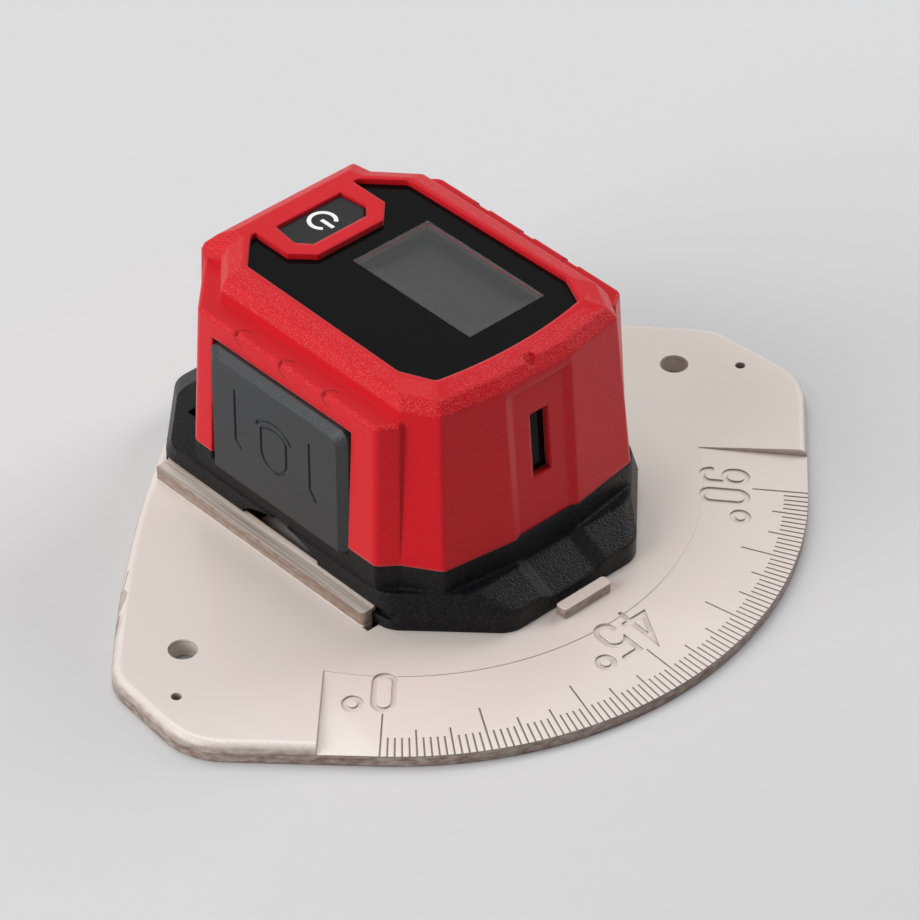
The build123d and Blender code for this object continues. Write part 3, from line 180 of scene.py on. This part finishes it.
def make_world():
    """A soft world that lights, and a pale one that the camera, metal and glass see."""
    world = bpy.data.worlds.new("world")
    world.use_nodes = True
    nodes, links = world.node_tree.nodes, world.node_tree.links
    soft = nodes["Background"]
    soft.inputs["Color"].default_value = (*WORLD_TINT, 1)
    soft.inputs["Strength"].default_value = WORLD_STRENGTH
    pale = nodes.new("ShaderNodeBackground")
    pale.inputs["Color"].default_value = (*BACKDROP_TONE, 1)
    pale.inputs["Strength"].default_value = 1.0
    path = nodes.new("ShaderNodeLightPath").outputs
    seen = maths(world, "MAXIMUM", path["Is Camera Ray"], path["Is Glossy Ray"])
    seen = maths(world, "MAXIMUM", seen, path["Is Transmission Ray"])
    mix = nodes.new("ShaderNodeMixShader")
    links.new(seen, mix.inputs[0])
    links.new(soft.outputs[0], mix.inputs[1])
    links.new(pale.outputs[0], mix.inputs[2])
    links.new(mix.outputs[0], nodes["World Output"].inputs["Surface"])
    bpy.context.scene.world = world


def make_floor():
    bpy.ops.mesh.primitive_plane_add(size=FLOOR_SIZE, location=(0, 0, FLOOR_Z))
    floor = bpy.context.object
    floor.name = "floor"
    material, bsdf = plain_material("floor_paper", FLOOR_TONE, 0.8)
    speckle(material, bsdf, 300.0, FLOOR_DARK, FLOOR_LIGHT)
    floor.data.materials.append(material)


# Parts of materials
def plain_material(name, colour, roughness, metallic=0.0):
    """A material with its uniform values straight on the shader's sockets."""
    material = bpy.data.materials.new(name)
    material.use_nodes = True
    bsdf = material.node_tree.nodes["Principled BSDF"]
    bsdf.inputs["Base Color"].default_value = (*colour, 1)
    bsdf.inputs["Roughness"].default_value = roughness
    bsdf.inputs["Metallic"].default_value = metallic
    return material, bsdf


def own_metres(material):
    """The piece's own coordinates, as three sockets."""
    nodes, links = material.node_tree.nodes, material.node_tree.links
    place = nodes.new("ShaderNodeSeparateXYZ")
    links.new(nodes.new("ShaderNodeTexCoord").outputs["Object"], place.inputs["Vector"])
    return [place.outputs[axis] for axis in "XYZ"]


def steepness(material, normal):
    """The height of a normal: 1 on a level face and 0 on a wall."""
    nodes, links = material.node_tree.nodes, material.node_tree.links
    split = nodes.new("ShaderNodeSeparateXYZ")
    links.new(nodes.new("ShaderNodeNewGeometry").outputs[normal], split.inputs["Vector"])
    return split.outputs["Z"]


def maths(owner, operation, first, second=0.0):
    """A Math node over two values, each a socket or a number."""
    node = owner.node_tree.nodes.new("ShaderNodeMath")
    node.operation = operation
    for value, socket in ((first, node.inputs[0]), (second, node.inputs[1])):
        if isinstance(value, (int, float)):
            socket.default_value = value
        else:
            owner.node_tree.links.new(value, socket)
    return node.outputs[0]


def length(material, *steps):
    """The length of a vector that is given as its steps along the axes."""
    calc = partial(maths, material)
    total = None
    for step in steps:
        square = calc("MULTIPLY", step, step)
        total = calc("ADD", total, square) if total else square
    return calc("SQRT", total)


def spread(material, value, low, high, source=NOISE_RANGE):
    """Stretches a value from its source range to the range from low to high."""
    node = material.node_tree.nodes.new("ShaderNodeMapRange")
    node.inputs["From Min"].default_value = source[0]
    node.inputs["From Max"].default_value = source[1]
    node.inputs["To Min"].default_value = low
    node.inputs["To Max"].default_value = high
    material.node_tree.links.new(value, node.inputs["Value"])
    return node.outputs["Result"]


def noise(material, scale, detail=3.0, stretch=None):
    """A noise texture over the piece's own metres."""
    nodes, links = material.node_tree.nodes, material.node_tree.links
    place = nodes.new("ShaderNodeTexCoord").outputs["Object"]
    if stretch:
        mapping = nodes.new("ShaderNodeMapping")
        mapping.inputs["Scale"].default_value = stretch
        links.new(place, mapping.inputs["Vector"])
        place = mapping.outputs["Vector"]
    texture = nodes.new("ShaderNodeTexNoise")
    texture.inputs["Scale"].default_value = scale
    texture.inputs["Detail"].default_value = detail
    links.new(place, texture.inputs["Vector"])
    return texture.outputs["Fac"]


def rough(material, bsdf, scale, low, high):
    """A roughness that drifts between two values."""
    value = spread(material, noise(material, scale), low, high)
    material.node_tree.links.new(value, bsdf.inputs["Roughness"])


def speckle(material, bsdf, scale, dark, light):
    """A slight drift of colour between two close tones."""
    nodes, links = material.node_tree.nodes, material.node_tree.links
    ramp = nodes.new("ShaderNodeMix")
    ramp.data_type = "RGBA"
    ramp.inputs["A"].default_value = (*dark, 1)
    ramp.inputs["B"].default_value = (*light, 1)
    links.new(noise(material, scale), ramp.inputs["Factor"])
    links.new(ramp.outputs["Result"], bsdf.inputs["Base Color"])
    return ramp.outputs["Result"]


def toned(material, below, factor, tone):
    """Lays a tone over a colour where the factor says so."""
    nodes, links = material.node_tree.nodes, material.node_tree.links
    over = nodes.new("ShaderNodeMix")
    over.data_type = "RGBA"
    over.inputs["B"].default_value = (*tone, 1)
    links.new(below, over.inputs["A"])
    links.new(factor, over.inputs["Factor"])
    return over.outputs["Result"]


def paint_glints(material, below, size, tone, share):
    """Lays painted glints, light dots of a size in metres, over a colour, as much as the share
    says.
    """
    peaks = spread(material, noise(material, 1.0 / size, 1.0), 0.0, 1.0, PEAKS)
    return toned(material, below, maths(material, "MULTIPLY", peaks, share), tone)


def grain(material, bsdf, size, depth, edge=0.0, mask=None):
    """Moulded grain: bumps of a size and depth, where the mask lets them, over softened edges."""
    nodes, links = material.node_tree.nodes, material.node_tree.links
    bump = nodes.new("ShaderNodeBump")
    bump.inputs["Distance"].default_value = depth
    bump.inputs["Strength"].default_value = 1.0
    links.new(noise(material, 1.0 / size, 2.0), bump.inputs["Height"])
    if mask:
        links.new(mask, bump.inputs["Strength"])
    if edge:
        soft = nodes.new("ShaderNodeBevel")
        soft.samples = 6
        soft.inputs["Radius"].default_value = edge
        links.new(soft.outputs["Normal"], bump.inputs["Normal"])
    links.new(bump.outputs["Normal"], bsdf.inputs["Normal"])


def ledge_shade_mask(material):
    """1 on the painted shade strokes that run over the ledges' edges, and 0 elsewhere."""
    calc = partial(maths, material)
    x, y, z = own_metres(material)
    across = calc("SUBTRACT", calc("ABSOLUTE", x), LEDGE_MARK_X)
    down = calc("SUBTRACT", z, LEDGE_MARK_Z)
    marks = None
    for mark_y in LEDGE_MARK_YS:
        along = calc("SUBTRACT", y, mark_y)
        span = length(material, across, down, along)
        off = calc("ABSOLUTE", calc("SUBTRACT", span, LEDGE_MARK_R))
        near = calc("LESS_THAN", off, LEDGE_SHADE_LINE / 2)
        line = calc("MULTIPLY", near, calc("GREATER_THAN", along, 0.0))
        marks = calc("ADD", marks, line) if marks else line
    return marks


# Materials of the shown pieces
def red_plastic():
    """Satin red, with moulded grain on the faces that lean, painted glints that crowd there, and
    painted shade along the ledge marks.
    """
    material, bsdf = plain_material("red_plastic", RED, 0.36)
    bsdf.inputs["Specular IOR Level"].default_value = 0.13
    bsdf.inputs["Sheen Weight"].default_value = 0.22
    bsdf.inputs["Sheen Roughness"].default_value = 0.45
    links = material.node_tree.links
    calc = partial(maths, material)
    plain = speckle(material, bsdf, 900.0, RED_DARK, RED_LIGHT)
    height = steepness(material, "True Normal")
    low, high = RED_LEAN
    leaning = calc(
        "MULTIPLY", calc("GREATER_THAN", height, low), calc("LESS_THAN", height, high)
    )
    # Painted glints: light dots, thickest on the leaning grain
    glint_layer = calc("ADD", calc("MULTIPLY", leaning, 0.3), 0.06)
    colour = paint_glints(material, plain, RED_PAINTED_GLINT_SIZE, RED_PAINTED_GLINT, glint_layer)
    # Painted shade: darkens thin curves over the ledges' edges
    shade_lines = calc("MULTIPLY", ledge_shade_mask(material), LEDGE_SHADE_SHARE)
    links.new(toned(material, colour, shade_lines, RED_SHADE_LINE), bsdf.inputs["Base Color"])
    roughness = calc("ADD", calc("MULTIPLY", leaning, 0.12), 0.28)
    links.new(roughness, bsdf.inputs["Roughness"])
    mask = spread(material, leaning, 0.25, 1.0, (0.0, 1.0))
    grain(material, bsdf, RED_GRAIN_SIZE, RED_GRAIN_DEPTH, RED_EDGE, mask)
    return material


def black_plastic(name, colour, size, depth, roughness, shine, edge=0.0):
    """Dark moulded plastic with painted glints, light dots on its grain."""
    material, bsdf = plain_material(name, colour, roughness)
    bsdf.inputs["Specular IOR Level"].default_value = shine
    plain = speckle(material, bsdf, 0.8 / size, colour, tuple(c * 1.35 for c in colour))
    # Painted glints on the grain
    glint_layer = paint_glints(material, plain, size, PAINTED_GLINT_TONE, PAINTED_GLINT_SHARE)
    material.node_tree.links.new(glint_layer, bsdf.inputs["Base Color"])
    grain(material, bsdf, size, depth, edge)
    rough(material, bsdf, 1.0 / size, roughness - 0.08, roughness + 0.1)
    return material


def gloss_black(name, colour):
    material, bsdf = plain_material(name, colour, 0.12)
    bsdf.inputs["Specular IOR Level"].default_value = 0.08
    rough(material, bsdf, 120.0, 0.09, 0.16)
    speckle(material, bsdf, 60.0, colour, tuple(c * 1.15 for c in colour))
    return material


def scale_grooves(material, x, y, z):
    """1 in the ticks and numerals that are cut into the falling band, and 0 elsewhere."""
    calc = partial(maths, material)
    out = length(material, x, y)
    fall = calc("MULTIPLY", calc("SUBTRACT", out, BAND_INNER_R), -BAND_SLOPE)
    deep = calc("SUBTRACT", calc("ADD", fall, PLATE_TOP - BAND_STEP), z)
    cut = calc("MULTIPLY", calc("GREATER_THAN", deep, TICK_NEAR), calc("LESS_THAN", deep, TICK_FAR))
    return calc("MULTIPLY", cut, calc("GREATER_THAN", out, BAND_INNER_R))


def painted_edge_shade(material, x, y, z, lean, raised):
    """How much painted brown shade a leaning face gets: engraved walls and holes less than the
    plate's own edge.
    """
    calc = partial(maths, material)
    across = calc("SUBTRACT", calc("ABSOLUTE", x), HOLE_X)
    from_hole = length(material, across, calc("SUBTRACT", y, HOLE_Y))
    in_hole = calc("LESS_THAN", from_hole, HOLE_R)
    share = spread(material, z, 0.4, 0.95, (PLATE_TOP, PLATE_TOP - EDGE_SHADE_TONE_DEPTH))
    share = calc("MAXIMUM", share, calc("MULTIPLY", raised, 0.8))
    share = calc("MULTIPLY", share, calc("SUBTRACT", 1.0, calc("MULTIPLY", in_hole, 0.6)))
    clouds = spread(material, noise(material, 420.0, 3.0, (1, 1, 2.5)), 0.6, 1.0)
    return calc("MULTIPLY", calc("MULTIPLY", lean, share), clouds)


def rail_streaks(material, x, raised):
    """Long streaks on the rails, and a little of their tone on the stop."""
    calc = partial(maths, material)
    streaks = spread(material, noise(material, 1100.0, 2.0, (1, 0.02, 1)), 0.0, 0.75)
    rail = calc("GREATER_THAN", calc("ABSOLUTE", x), RAIL_NEAR_X)
    return calc("MULTIPLY", raised, calc("ADD", calc("MULTIPLY", streaks, rail), 0.1))


def champagne_plastic():
    """Smoky plastic: pale and glossy on its faces, frosted at its edges, with painted shade that
    browns the edges and darkens the cut ticks and numerals.
    """
    material, bsdf = plain_material("champagne_plastic", (0.70, 0.64, 0.58), 0.2)
    bsdf.inputs["IOR"].default_value = 1.5
    links = material.node_tree.links
    calc = partial(maths, material)
    x, y, z = own_metres(material)
    raised = calc("GREATER_THAN", z, PLATE_TOP + RAISED_FROM)
    lean = spread(material, steepness(material, "Normal"), 0.0, 1.0, (0.985, 0.5))

    pale = speckle(material, bsdf, 25.0, PALE_DARK, PALE_LIGHT)
    colour = toned(material, pale, rail_streaks(material, x, raised), STREAK_TONE)
    # Painted shade: browns the leaning faces, most on the plate's outer edge and lower down
    edge = painted_edge_shade(material, x, y, z, lean, raised)
    colour = toned(material, colour, edge, EDGE_SHADE_TONE)
    # Painted shade: darkens the ticks and numerals cut into the band
    groove_shade = calc("MULTIPLY", scale_grooves(material, x, y, z), 0.8)
    colour = toned(material, colour, groove_shade, GROOVE_SHADE_TONE)
    links.new(colour, bsdf.inputs["Base Color"])
    links.new(calc("ADD", calc("MULTIPLY", lean, 0.16), 0.16), bsdf.inputs["Roughness"])

    leaning = calc("GREATER_THAN", lean, 0.02)
    frost = calc("MULTIPLY", leaning, calc("SUBTRACT", 1.0, raised))
    frost = calc("ADD", calc("MULTIPLY", frost, 0.5), 0.02)
    grain(material, bsdf, FROST_SIZE, FROST_DEPTH, FROST_EDGE, frost)
    return material


def clear_window():
    material, bsdf = plain_material("clear_window", (0.78, 0.78, 0.78), 0.04)
    bsdf.inputs["Transmission Weight"].default_value = 1.0
    bsdf.inputs["IOR"].default_value = 1.49
    bsdf.inputs["Specular IOR Level"].default_value = 0.15
    rough(material, bsdf, 200.0, 0.03, 0.06)
    return material


# Materials of the pieces inside
def metal(name, colour, roughness):
    material, bsdf = plain_material(name, colour, roughness, 1.0)
    rough(material, bsdf, 2500.0, roughness - 0.06, roughness + 0.08)
    return material


def dull(name, colour, roughness):
    material, bsdf = plain_material(name, colour, roughness)
    speckle(material, bsdf, 800.0, colour, tuple(min(1, c * 1.2) for c in colour))
    rough(material, bsdf, 800.0, roughness - 0.05, roughness + 0.08)
    return material


def dress_frame():
    """Gives every carried-over CAD node its material."""
    base = black_plastic(
        "base_black", (0.004, 0.004, 0.005), 0.5 * MM, 0.2 * MM, 0.34, 0.15, 1.2 * MM
    )
    pad = black_plastic(
        "pad_grey", (0.016, 0.018, 0.020), 0.4 * MM, 0.1 * MM, 0.42, 0.45, 0.4 * MM
    )
    button = black_plastic(
        "button_black", (0.007, 0.007, 0.008), 0.3 * MM, 0.01 * MM, 0.35, 0.3
    )
    moulded = ("chassis", "power_plunger", "pad_plunger_left", "pad_plunger_right", "laser_clamp")
    small_black = ("board_chips", "power_switch", "pad_switches")
    screws = ("board_screws", "clamp_screws", "housing_screws", "door_hinge_pin")
    contacts = ("front_contacts", "door_contact", "laser_diode")
    looks = (
        (red_plastic(), ("upper_housing", "battery_door")),
        (champagne_plastic(), ("protractor_plate",)),
        (base, ("lower_base",)),
        (pad, ("pad_left", "pad_right")),
        (gloss_black("panel_black", (0.003, 0.003, 0.003)), ("top_panel",)),
        (button, ("power_button",)),
        (clear_window(), ("display_window",)),
        (dull("lcd_grey", (0.022, 0.022, 0.022), 0.5), ("lcd_glass",)),
        (dull("frame_black", (0.03, 0.03, 0.03), 0.4), ("lcd_frame",)),
        (dull("moulded_black", (0.02, 0.02, 0.022), 0.5), moulded),
        (dull("silicone", (0.35, 0.33, 0.30), 0.6), ("zebra_strips",)),
        (dull("board_green", (0.01, 0.10, 0.04), 0.35), ("main_board",)),
        (dull("chip_black", (0.02, 0.02, 0.02), 0.5), small_black),
        (metal("screw_steel", (0.55, 0.55, 0.56), 0.3), screws),
        (metal("contact_nickel", (0.75, 0.72, 0.66), 0.25), contacts),
        (dull("cell_wrap", (0.12, 0.13, 0.14), 0.35), ("battery_cells",)),
        (metal("barrel_brass", (0.75, 0.55, 0.28), 0.25), ("laser_barrel",)),
        (clear_window(), ("line_lens",)),
        (dull("flex_amber", (0.45, 0.22, 0.05), 0.4), ("laser_flex",)),
        (gloss_black("pane_dark", (0.003, 0.002, 0.002)), ("laser_pane",)),
    )
    for material, nodes in looks:
        for node in nodes:
            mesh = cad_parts[node].data
            mesh.materials.clear()
            mesh.materials.append(material)


def make_power_symbol():
    """The print on the power button."""
    mesh = bpy.data.meshes.new("power_symbol")
    build = bmesh.new()
    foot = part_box("power_button")[1][2]
    top = foot + SYMBOL_T

    def slab(corners):
        low = [build.verts.new((x, y, foot)) for x, y in corners]
        high = [build.verts.new((x, y, top)) for x, y in corners]
        build.faces.new(high)
        for i in range(len(corners)):
            j = (i + 1) % len(corners)
            build.faces.new((low[i], low[j], high[j], high[i]))

    cx, cy = SYMBOL_CENTRE
    start = -math.pi / 2 + SYMBOL_GAP / 2
    step = (2 * math.pi - SYMBOL_GAP) / SYMBOL_STEPS
    for i in range(SYMBOL_STEPS):
        a, b = start + i * step, start + (i + 1) * step
        polar = (SYMBOL_INNER_R, a), (SYMBOL_OUTER_R, a), (SYMBOL_OUTER_R, b), (SYMBOL_INNER_R, b)
        slab([(cx + r * math.cos(t), cy + r * math.sin(t)) for r, t in polar])
    left, right = cx - SYMBOL_BAR_HALF_W, cx + SYMBOL_BAR_HALF_W
    front, back = cy + SYMBOL_BAR_FRONT, cy + SYMBOL_BAR_BACK
    slab([(left, front), (right, front), (right, back), (left, back)])
    bmesh.ops.remove_doubles(build, verts=build.verts[:], dist=SYMBOL_WELD)
    bmesh.ops.recalc_face_normals(build, faces=build.faces[:])
    build.to_mesh(mesh)
    build.free()
    mesh.materials.append(dull("symbol_white", SYMBOL_TONE, 0.5))
    symbol = bpy.data.objects.new("power_symbol", mesh)
    bpy.context.scene.collection.objects.link(symbol)
    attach(symbol, "power_button")


bpy.context.scene.view_settings.view_transform = "Standard"
make_camera()
for light in LIGHTS:
    area_light(*light)
make_world()
make_floor()
dress_frame()
make_power_symbol()
